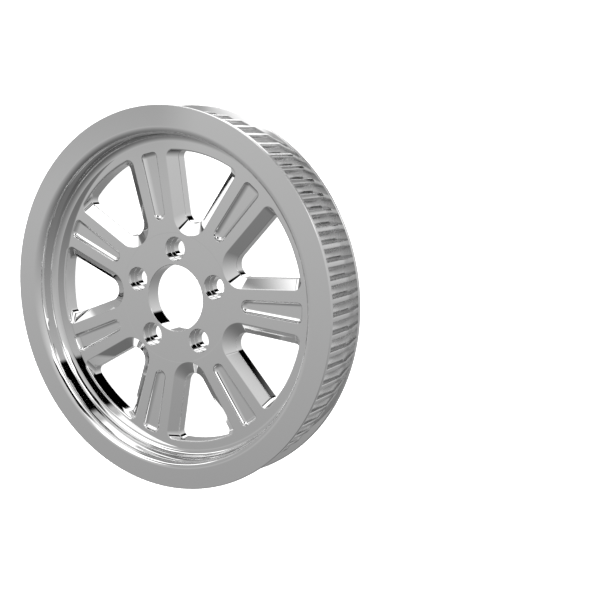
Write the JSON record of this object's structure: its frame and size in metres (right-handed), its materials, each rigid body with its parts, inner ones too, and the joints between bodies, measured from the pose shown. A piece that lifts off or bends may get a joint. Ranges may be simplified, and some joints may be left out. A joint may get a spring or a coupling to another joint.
{
  "type": "belt pulley",
  "caption": "Large toothed belt pulley with guide flanges, a recessed plate with bevelled windows and pocketed spokes, a centre bore and a ring of bolt holes for a wheel hub.",
  "frame": {"origin": "centre of the bore, on the rear mounting face of the hub plate", "axes": "+Z along the axle, from the mounting face towards the front that carries the bolt heads; +X along one spoke; +Y through one bolt hole. It lies flat on the rear edge of its rim"},
  "size_m": [0.318, 0.318, 0.0468],
  "materials": {
    "pulley": "polished"
  },
  "bodies": {
    "root": {"pulley": "pulley"}
  },
  "joints": []
}
